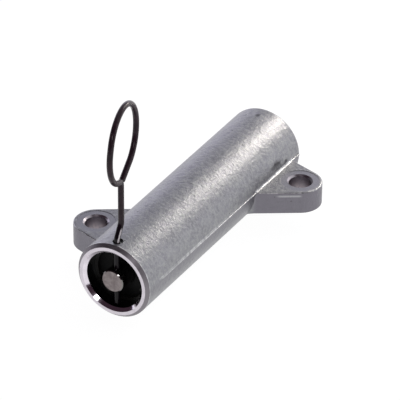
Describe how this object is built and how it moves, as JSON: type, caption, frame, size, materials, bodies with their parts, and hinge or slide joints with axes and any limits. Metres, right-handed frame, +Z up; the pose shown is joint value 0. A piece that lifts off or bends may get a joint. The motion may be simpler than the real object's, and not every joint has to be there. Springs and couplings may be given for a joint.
{
  "type": "hydraulic timing belt tensioner",
  "caption": "Hydraulic timing belt tensioner: a cast round housing with two bolt ears and a spring-loaded push rod, held back by a wire lock pin with a finger ring.",
  "frame": {"origin": "midway between the two bolt holes, on the plane of the ears' undersides", "axes": "+Z up along the bolt holes, -Y along the housing's axis the way the push rod comes out, +X to the side of the rear ear"},
  "size_m": [0.072, 0.1247, 0.0893],
  "materials": {
    "cast_aluminium": "as cast, shot blasted, with a machined end face",
    "ground_steel": "ground",
    "ball_steel": "polished",
    "spring_steel": "drawn wire",
    "black_steel": "black oxide",
    "dark_wire": "dark glossy lacquer on drawn wire",
    "rubber": "moulded",
    "ring_plastic": "moulded"
  },
  "bodies": {
    "housing": {"housing": "cast_aluminium", "oil_seal": "rubber", "seal_case": "ground_steel", "seal_garter_spring": "spring_steel", "snap_ring": "black_steel", "sleeve": "ground_steel", "return_spring": "spring_steel", "plunger_spring": "spring_steel"},
    "lock_pin": {"lock_pin": "dark_wire"},
    "push_rod": {"push_rod": "ground_steel", "wear_ring": "ring_plastic", "wear_ring_clip": "black_steel", "plunger": "ground_steel", "valve_seat": "ground_steel", "ball_retainer": "spring_steel", "check_ball_spring": "spring_steel"},
    "check_ball": {"check_ball": "ball_steel"}
  },
  "joints": [
    {"name": "lock_pin_pull", "type": "slide", "parent": "housing", "child": "lock_pin", "axis": [0, 0, 1], "range_m": [0, 0.12]},
    {"name": "push_rod_slide", "type": "slide", "parent": "housing", "child": "push_rod", "axis": [0, -1, 0], "range_m": [0, 0.0085], "deforming": ["return_spring", "plunger_spring"]},
    {"name": "check_ball_lift", "type": "slide", "parent": "push_rod", "child": "check_ball", "axis": [0, 1, 0], "range_m": [0, 0.0004], "stiffness_N_per_m": 60, "deforming": ["check_ball_spring"]}
  ],
  "couplings": [
    {"joint": "push_rod_slide", "follows": "lock_pin_pull", "ratio": 0.07}
  ]
}
